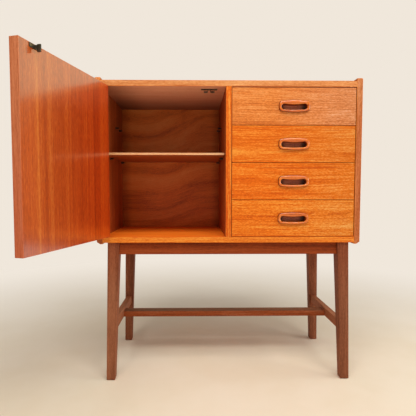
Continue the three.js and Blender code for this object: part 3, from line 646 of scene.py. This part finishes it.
def cushion(width, height, corner, bow_up, bow_down):
    """Points (x, z), evenly spaced, round a rounded rectangle whose upper and lower edges bow
    outwards, or inwards by a negative amount."""
    right, half = width / 2 - corner, height / 2
    outline = []

    def bow(z, rise, start, end):
        for step in range(CUSHION_STEPS):
            t = step / CUSHION_STEPS
            x = start + (end - start) * t
            outline.append((x, z + 4 * t * (1 - t) * rise))

    def arc(x, z, start):
        for step in range(CUSHION_STEPS):
            angle = start + math.pi / 2 * step / CUSHION_STEPS
            outline.append((x + corner * math.cos(angle), z + corner * math.sin(angle)))

    bow(-half, -bow_down, -right, right)
    arc(right, corner - half, -math.pi / 2)
    arc(right, half - corner, 0.0)
    bow(half, bow_up, right, -right)
    arc(-right, half - corner, math.pi / 2)
    arc(-right, corner - half, math.pi)

    lengths = [0.0]
    for here, after in zip(outline, outline[1:] + outline[:1]):
        lengths.append(lengths[-1] + math.dist(here, after))
    ring = []
    segment = 0
    for index in range(RING_POINTS):
        target = lengths[-1] * index / RING_POINTS
        while lengths[segment + 1] <= target:
            segment += 1
        span = lengths[segment + 1] - lengths[segment]
        t = (target - lengths[segment]) / span
        here, after = outline[segment], outline[(segment + 1) % len(outline)]
        ring.append((here[0] + (after[0] - here[0]) * t, here[1] + (after[1] - here[1]) * t))
    return ring


def bridge_rings(bm, rings, hollow=False, last_cap=True):
    """A skin through rings of points: capped at both ends, or closed on itself. Gives back the
    rings' vertices and the faces of each band, where the last cap counts as a band."""
    made = [[bm.verts.new(point) for point in ring] for ring in rings]
    bands = []
    for ring, following in zip(made, made[1:] + (made[:1] if hollow else [])):
        count = len(ring)
        bands.append([
            bm.faces.new((ring[i], ring[(i + 1) % count], following[(i + 1) % count], following[i]))
            for i in range(count)
        ])
    if not hollow:
        bm.faces.new(made[0])
        if last_cap:
            bands.append([bm.faces.new(made[-1])])
    return made, bands


def add_pull(number):
    """A cup let through the drawer front: a rolled rim outside, a scooped hollow for the fingers."""
    node = f"drawer_{number}_pull"
    low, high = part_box(node)
    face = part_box(f"drawer_{number}_front")[0].y
    centre = (low + high) / 2
    width, height = high.x - low.x, high.z - low.z
    flat_height = height - 2 * PULL_BULGE
    rim = cushion(width, flat_height, PULL_CORNER, PULL_BULGE, PULL_BULGE)
    plug = cushion(width - 2 * PLUG_INSET, flat_height - 2 * PLUG_INSET, PULL_CORNER - PLUG_INSET,
                   PULL_BULGE, PULL_BULGE)
    opening = cushion(RECESS_WIDTH, RECESS_HEIGHT, RECESS_CORNER, -RECESS_LIP_SAG, RECESS_FLOOR_SAG)
    mouth = [(x, z - RECESS_BELOW_CENTRE) for x, z in opening]
    middle = [
        (SCOOP_FLOOR[0] * x, SCOOP_FLOOR[1] * z - RECESS_BELOW_CENTRE) for x, z in opening
    ]

    def level(outline, y, toward=None, share=0.0):
        toward = toward or outline
        return [
            (centre.x + x + (u - x) * share, y, centre.z + z + (v - z) * share)
            for (x, z), (u, v) in zip(outline, toward)
        ]

    rings = [level(plug, high.y), level(plug, face - SEAT), level(rim, face - SEAT)]
    for step in range(ROLL_STEPS + 1):  # over the rim, from the drawer face to the mouth
        turn = math.pi * step / ROLL_STEPS
        share = (1 - math.cos(turn)) / 2
        rise = math.sin(turn) ** ROLL_FULLNESS if 0 < step < ROLL_STEPS else 0.0
        base = RIM_INNER_WALL if share > 0.5 else RIM_OUTER_WALL
        rings.append(level(rim, face - base - (RIM_PROUD - base) * rise, mouth, share))
    floor_y = face - RIM_PROUD + RECESS_DEPTH
    rings.append(level(mouth, floor_y - SCOOP_DEPTH))
    for step in range(1, SCOOP_STEPS + 1):
        turn = math.pi / 2 * step / SCOOP_STEPS
        y = floor_y - SCOOP_DEPTH * (1 - math.sin(turn))
        rings.append(level(mouth, y, middle, 1 - math.cos(turn)))
    bm = bmesh.new()
    _, bands = bridge_rings(bm, rings)
    mouth_band = len(rings) - SCOOP_STEPS - 2  # from the mouth down into the hollow
    # painted shade: the edge and mouth bands take the dark finish
    for index, band in enumerate(bands):
        for face in band:
            if index < EDGE_BANDS or mouth_band <= index < mouth_band + MOUTH_BANDS:
                face.material_index = 1
            elif index >= mouth_band:
                face.material_index = 2
    materials = (pull_rim, pull_painted_shade, pull_hollow)
    show(f"{node}_cup", bm, f"drawer_{number}", materials, node)


def add_drawers():
    for number in DRAWERS:
        body = f"drawer_{number}"
        bm = welded(f"{body}_front")
        soften(bm, outer_edges(bm), BOARD_ARRIS)
        show(f"{body}_front_board", bm, body, (teak_fronts[number],), f"{body}_front")
        add_pull(number)
        grains = {"left": box_deep, "right": box_deep, "back": box_level, "bottom": box_floor}
        for part, material in grains.items():
            bm = welded(f"{body}_{part}")
            soften(bm, outer_edges(bm), BOX_ARRIS, 2)
            show(f"{body}_{part}_board", bm, body, (material,), f"{body}_{part}")
        for wall in ("left", "right"):
            node = f"runner_{number}_{wall}"
            bm = welded(node)
            soften(bm, outer_edges(bm), BOX_ARRIS, 2)
            show(f"{node}_strip", bm, "case", (box_deep,), node)


# ------------------------------------------------------------------ metal parts

ROUND_STEPS = 32
PLATE_ARRIS = 0.3 * MM
PLATE_EDGE = 5 * MM  # the shortest edge of the catch that is rounded over
FIT_GAP = 0.3 * MM
SCREW_PROUD = 0.2 * MM
HEAD_STEPS = 12
HEAD_FOOT, HEAD_BURIED = 0.4, 0.5  # these are shares of the head's radius, down to SLOT_DEPTH
HEAD_SHOULDER = 0.94
HEAD_TOP = 0.8
SLOT_SHARE = 0.14  # half the width of the driving slot
SLOT_DEPTH = 0.25
SHOULDER_RISE = 0.7  # of the height by which a head stands proud
CATCH_PLATE = 1.4 * MM
CATCH_SCREW_OFFSET = 20 * MM
CATCH_SCREW_RADIUS = 2.8 * MM
STRIKE_PLATE = 1.5 * MM
STRIKE_PLATE_HEIGHT = 9.5 * MM
STRIKE_SCREW_OFFSET = 11 * MM
STRIKE_SCREW_RADIUS = 2.8 * MM
KNUCKLE_COUNT = 18
KNUCKLE_RADIUS = 2.5 * MM
KNUCKLE_BORE = 1.4 * MM
KNUCKLE_GAP = 0.4 * MM
KNUCKLE_CHAMFER = 0.35 * MM
KNUCKLE_ROOT = 1.1 * KNUCKLE_BORE  # from the pin's axis to the tongue that joins leaf and knuckle
LEAF_OVERLAP = 0.1 * MM  # the tongue runs this far into the leaf
LEAF_THICKNESS = 0.75 * MM
THICKNESS_EDGE = 1.1 * LEAF_THICKNESS  # only the edges across the leaf's thickness are shorter
LEAF_CORNER = 2 * MM
LEAF_SCREWS = 6
LEAF_SCREW_RADIUS = 2.4 * MM
LEAF_SCREW_STAGGER = 0.1  # of their spacing: the two leaves' screws pass each other, door shut
HINGE_PIN_TIP, HINGE_PIN_TAPER = 0.6, 0.4  # shares of its radius
RUNNER_SCREW_INSET = 30 * MM
RUNNER_SCREW_RADIUS = 3.2 * MM
PIN_SHANK = 2.5 * MM
PIN_COLLAR = 4.5 * MM
PIN_RADIUS = 3 * MM
PIN_BURIED = 9 * MM
PIN_LENGTH = 21 * MM
PIN_COLLAR_BEVEL = 0.3 * MM
PIN_COLLAR_WIDTH = 1.2 * MM
PIN_STEP = 0.4 * MM  # the collar's fall to the peg, and the outer bevel of the peg's end
PIN_END = 1.2 * MM
SPARE_PIN_DEPTHS = {"front": 213 * MM, "back": 275 * MM}  # behind the case's front
SPARE_PIN_HEIGHT = 827.5 * MM


def lathe(bm, profile, origin, axis, hollow=False):
    """Turns a profile of (radius, distance along the axis) about the axis; closed at both ends
    unless it is hollow, where the profile runs right round the wall of a tube."""
    turn = Z.rotation_difference(axis).to_matrix()
    rings = []
    for radius, along in profile:
        ring = []
        for index in range(ROUND_STEPS):
            angle = 2 * math.pi * index / ROUND_STEPS
            point = Vector((radius * math.cos(angle), radius * math.sin(angle), along))
            ring.append(origin + turn @ point)
        rings.append(ring)
    bridge_rings(bm, rings, hollow)


def shelf_pin(name, root, axis, node=None):
    """A turned peg: a shank in the wall, a collar against it and a rounded end."""
    profile = (
        (PIN_SHANK, 0), (PIN_SHANK, PIN_BURIED), (PIN_COLLAR, PIN_BURIED + PIN_COLLAR_BEVEL),
        (PIN_COLLAR, PIN_BURIED + PIN_COLLAR_WIDTH),
        (PIN_RADIUS, PIN_BURIED + PIN_COLLAR_WIDTH + PIN_STEP), (PIN_RADIUS, PIN_LENGTH - PIN_END),
        (PIN_RADIUS - PIN_STEP, PIN_LENGTH - PIN_STEP), (PIN_RADIUS - PIN_END, PIN_LENGTH),
    )
    bm = bmesh.new()
    lathe(bm, profile, root, axis)
    show(name, bm, "case", (dark_steel,), node)


def add_shelf_pins():
    """The four under the shelf, and four in the holes for a second one."""
    for wall, x, axis in (("left", CUPBOARD_LEFT, X), ("right", CUPBOARD_RIGHT, -X)):
        for row in ("front", "back"):
            node = f"shelf_pin_{wall}_{row}"
            low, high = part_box(node)
            root = Vector((low.x if wall == "left" else high.x, *((low + high) / 2).yz))
            shelf_pin(f"{node}_peg", root, axis, node)
            depth = CASE_FRONT + SPARE_PIN_DEPTHS[row]
            root = Vector((x, depth, SPARE_PIN_HEIGHT)) - PIN_BURIED * axis
            shelf_pin(f"spare_pin_{wall}_{row}", root, axis)


def add_catch_part(node, body, metal):
    """The catch under the top board, or its strike on the door."""
    bm = welded(node)
    soften(bm, long_edges(bm, PLATE_EDGE), PLATE_ARRIS, 2)
    show(f"{node}_metal", bm, body, (metal,), node)


def opened(point):
    """A point of the shut door, carried to where it is with the door open."""
    return HINGE + OPENED @ (point - HINGE)


def shut_bounds(node):
    """The lowest and highest corner of a node of the door, with the door shut."""
    shut = OPENED.transposed()
    points = [HINGE + shut @ (v.co - HINGE) for v in frame["nodes"][node].data.vertices]
    return tuple(Vector(map(pick, *points)) for pick in (min, max))


def add_screw(name, body, origin, axis, radius):
    """A countersunk head with a straight driving slot, a little proud of its plate."""
    across = axis.orthogonal().normalized()
    along = axis.cross(across)
    opening = math.asin(SLOT_SHARE / HEAD_TOP)
    sweep = math.pi - 2 * opening
    angles = [
        start + opening + sweep * step / HEAD_STEPS
        for start in (0, math.pi) for step in range(HEAD_STEPS + 1)
    ]
    profile = (
        (HEAD_FOOT, -HEAD_BURIED * radius), (1, 0),
        (HEAD_SHOULDER, SHOULDER_RISE * SCREW_PROUD), (HEAD_TOP, SCREW_PROUD),
    )
    rings = [
        [origin + share * radius * (math.cos(a) * along + math.sin(a) * across) + height * axis
         for a in angles]
        for share, height in profile
    ]
    bm = bmesh.new()
    made, _ = bridge_rings(bm, rings, last_cap=False)
    top = made[-1]
    halves = top[:HEAD_STEPS + 1], top[HEAD_STEPS + 1:]
    rim = [half[end] for half in halves for end in (0, -1)]
    floor = [bm.verts.new(vertex.co - SLOT_DEPTH * radius * axis) for vertex in rim]
    for face in (*halves, floor):
        bm.faces.new(face)
    for index in range(4):
        after = (index + 1) % 4
        bm.faces.new((rim[index], rim[after], floor[after], floor[index]))
    show(name, bm, body, (screw_steel,))


def add_catch_screws():
    low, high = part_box("catch")
    middle = (low + high) / 2
    for side, name in ((-1, "left"), (1, "right")):
        place = Vector((middle.x + side * CATCH_SCREW_OFFSET, middle.y, high.z - CATCH_PLATE))
        add_screw(f"catch_screw_{name}", "case", place, -Z, CATCH_SCREW_RADIUS)
    low, high = shut_bounds("strike")
    middle = (low + high) / 2
    for side, name in ((-1, "inner"), (1, "outer")):
        place = Vector((
            middle.x + side * STRIKE_SCREW_OFFSET, low.y + STRIKE_PLATE,
            high.z - STRIKE_PLATE_HEIGHT / 2,
        ))
        add_screw(f"strike_screw_{name}", "door", opened(place), DOOR_IN, STRIKE_SCREW_RADIUS)


def add_hinge_leaf(node, body, bounds, first, carry, out):
    """One leaf of the continuous hinge, built with the door shut and then carried into place."""
    low, high = bounds
    pin_low, pin_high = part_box("hinge_pin")
    pitch = (pin_high.z - pin_low.z) / KNUCKLE_COUNT
    centre = Vector((HINGE.x, (pin_low.y + pin_high.y) / 2, 0))
    face = high.x if out.x > 0 else low.x
    bm = bmesh.new()

    def plate(x0, x1, y0, y1, z0, z1):
        corners = [Vector((x, y, z)) for x in (x0, x1) for y in (y0, y1) for z in (z0, z1)]
        made = [bm.verts.new(corner) for corner in corners]
        for index in ((0, 1, 3, 2), (4, 6, 7, 5), (0, 4, 5, 1), (2, 3, 7, 6), (0, 2, 6, 4),
                      (1, 5, 7, 3)):
            bm.faces.new([made[i] for i in index])

    plate(low.x, high.x, low.y, high.y, low.z, high.z)
    rear_corners = [
        edge for edge in bm.edges
        if edge.calc_length() < THICKNESS_EDGE and all(v.co.y > low.y + MM for v in edge.verts)
    ]
    soften(bm, rear_corners, LEAF_CORNER)
    half = (pitch - KNUCKLE_GAP) / 2
    for knuckle in range(first, KNUCKLE_COUNT, 2):
        z = pin_low.z + (knuckle + 0.5) * pitch
        plate(low.x, high.x, centre.y + KNUCKLE_ROOT, low.y + LEAF_OVERLAP, z - half, z + half)
        tube = (
            (KNUCKLE_BORE, -half), (KNUCKLE_RADIUS - KNUCKLE_CHAMFER, -half),
            (KNUCKLE_RADIUS, KNUCKLE_CHAMFER - half), (KNUCKLE_RADIUS, half - KNUCKLE_CHAMFER),
            (KNUCKLE_RADIUS - KNUCKLE_CHAMFER, half), (KNUCKLE_BORE, half),
        )
        lathe(bm, tube, centre + z * Z, Z, hollow=True)
    for vertex in bm.verts:
        vertex.co = carry(vertex.co)
    show(f"{node}_brass", bm, body, (brass,), node)
    turned = carry(HINGE + out) - carry(HINGE)
    spacing = (pin_high.z - pin_low.z) / LEAF_SCREWS
    for screw in range(LEAF_SCREWS):
        z = pin_low.z + (screw + 0.5 + (2 * first - 1) * LEAF_SCREW_STAGGER) * spacing
        place = carry(Vector((face, (low.y + high.y) / 2, z)))
        add_screw(f"{node}_screw_{screw + 1}", body, place, turned, LEAF_SCREW_RADIUS)


def add_hinge():
    """A brass continuous hinge: two leaves, their knuckles in turn, and the pin."""
    pin_low, pin_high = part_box("hinge_pin")
    case_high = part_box("hinge_case_leaf")[1]
    door_low = shut_bounds("door")[0]
    left = CUPBOARD_LEFT + FIT_GAP
    right = door_low.x - FIT_GAP
    front, rear = CASE_FRONT, case_high.y
    add_hinge_leaf(
        "hinge_case_leaf", "case",
        (Vector((left, front, pin_low.z)), Vector((left + LEAF_THICKNESS, rear, pin_high.z))),
        0, lambda point: point.copy(), X,
    )
    add_hinge_leaf(
        "hinge_door_leaf", "door",
        (Vector((right - LEAF_THICKNESS, front, pin_low.z)), Vector((right, rear, pin_high.z))),
        1, opened, -X,
    )
    radius = (pin_high.x - pin_low.x) / 2
    length = pin_high.z - pin_low.z
    tip, taper = HINGE_PIN_TIP * radius, HINGE_PIN_TAPER * radius
    profile = ((tip, 0), (radius, taper), (radius, length - taper), (tip, length))
    bm = bmesh.new()
    lathe(bm, profile, Vector((HINGE.x, (pin_low.y + pin_high.y) / 2, pin_low.z)), Z)
    show("hinge_pin_rod", bm, "case", (brass,), "hinge_pin")


def add_runner_screws():
    for number in DRAWERS:
        for wall, axis in (("left", X), ("right", -X)):
            low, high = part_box(f"runner_{number}_{wall}")
            x = high.x if wall == "left" else low.x
            rows = {"front": low.y + RUNNER_SCREW_INSET, "back": high.y - RUNNER_SCREW_INSET}
            for row, y in rows.items():
                place = Vector((x, y, (low.z + high.z) / 2))
                add_screw(f"runner_{number}_{wall}_screw_{row}", "case", place, axis,
                          RUNNER_SCREW_RADIUS)


# ------------------------------------------------------------------ studio


FLOOR_SIZE = 20  # metres from its middle to its edge


def add_floor():
    bm = bmesh.new()
    bmesh.ops.create_grid(bm, x_segments=1, y_segments=1, size=FLOOR_SIZE)
    mesh = bpy.data.meshes.new("studio_floor")
    bm.to_mesh(mesh)
    bm.free()
    mesh.materials.append(floor_finish())
    floor = bpy.data.objects.new("studio_floor", mesh)
    bpy.context.scene.collection.objects.link(floor)


LIGHTS = {  # metres and watts
    "key": {
        "place": (0.1, -1.45, 2.9), "target": (0, 0.1, 0.5), "size": (2.6, 1.2), "power": 62,
        "colour": (1.0, 0.96, 0.90),
    },
    "fill": {
        "place": (2.4, -0.5, 1.0), "target": (-0.4, -0.15, 0.7), "size": (1.4, 1.4), "power": 24,
        "colour": (1.0, 0.97, 0.93),
    },
}


def add_light(name, place, target, size, power, colour):
    data = bpy.data.lights.new(name, "AREA")
    data.shape = "RECTANGLE"
    data.size, data.size_y = size
    data.energy = power
    data.color = colour
    light = bpy.data.objects.new(name, data)
    light.location = place
    light.rotation_euler = (Vector(target) - Vector(place)).to_track_quat("-Z", "Y").to_euler()
    bpy.context.scene.collection.objects.link(light)


DIFFUSE_GLOW = 0.40, 0.26  # strength of the soft light from the front and from behind
GLOSSY_GLOW = 0.42, 1.24  # and of what a polished face mirrors
GLOSSY_TONE = linear(250, 248, 200)


def add_world():
    """The wall's tone to the camera; to light and to mirrors, a glow that differs front and back."""
    world = bpy.data.worlds.new("studio")
    world.use_nodes = True
    tree = world.node_tree
    tree.nodes.clear()
    seen = tree.nodes.new("ShaderNodeBackground")
    seen.inputs["Color"].default_value = WALL_TONE
    where = tree.nodes.new("ShaderNodeTexCoord")
    split = tree.nodes.new("ShaderNodeSeparateXYZ")
    tree.links.new(where.outputs["Generated"], split.inputs[0])
    path = tree.nodes.new("ShaderNodeLightPath")

    def lit(tone, front, back):
        spread = tree.nodes.new("ShaderNodeMapRange")
        spread.inputs["From Min"].default_value = -1
        spread.inputs["From Max"].default_value = 1
        spread.inputs["To Min"].default_value = front
        spread.inputs["To Max"].default_value = back
        tree.links.new(split.outputs["Y"], spread.inputs["Value"])
        glow = tree.nodes.new("ShaderNodeBackground")
        glow.inputs["Color"].default_value = tone
        tree.links.new(spread.outputs["Result"], glow.inputs["Strength"])
        return glow

    def choose(ray, otherwise, chosen):
        blend = tree.nodes.new("ShaderNodeMixShader")
        tree.links.new(path.outputs[ray], blend.inputs[0])
        tree.links.new(otherwise.outputs[0], blend.inputs[1])
        tree.links.new(chosen.outputs[0], blend.inputs[2])
        return blend

    mirrored = lit(GLOSSY_TONE, *GLOSSY_GLOW)
    soft = choose("Is Glossy Ray", lit(WALL_TONE, *DIFFUSE_GLOW), mirrored)
    output = tree.nodes.new("ShaderNodeOutputWorld")
    tree.links.new(choose("Is Camera Ray", soft, seen).outputs[0], output.inputs[0])
    bpy.context.scene.world = world


SENSOR = 36.0  # millimetres, like the lens
LENS = 32.4606
SHIFT_X, SHIFT_Y = 0.017308, 0.007452  # of the frame's width
NEAR_CLIP = 0.02
CAMERA_PLACE = (-0.0659, -1.1492, 0.6024)
CAMERA_DOWN = math.radians(3.13)
CAMERA_RIGHT = math.radians(0.82)


def add_camera():
    data = bpy.data.cameras.new("camera")
    data.sensor_width = SENSOR
    data.lens = LENS
    data.shift_x, data.shift_y = SHIFT_X, SHIFT_Y
    data.clip_start = NEAR_CLIP
    camera = bpy.data.objects.new("camera", data)
    camera.location = CAMERA_PLACE
    camera.rotation_euler = (math.pi / 2 - CAMERA_DOWN, 0, -CAMERA_RIGHT)
    bpy.context.scene.collection.objects.link(camera)
    bpy.context.scene.camera = camera


add_case()
add_door()
add_stand()
add_drawers()
add_shelf_pins()
add_catch_part("catch", "case", bronzed_steel)
add_catch_part("strike", "door", dark_steel)
add_catch_screws()
add_hinge()
add_runner_screws()

add_floor()
for light, settings in LIGHTS.items():
    add_light(light, **settings)
add_world()
add_camera()
bpy.context.scene.view_settings.view_transform = "Standard"

bpy.context.view_layer.update()
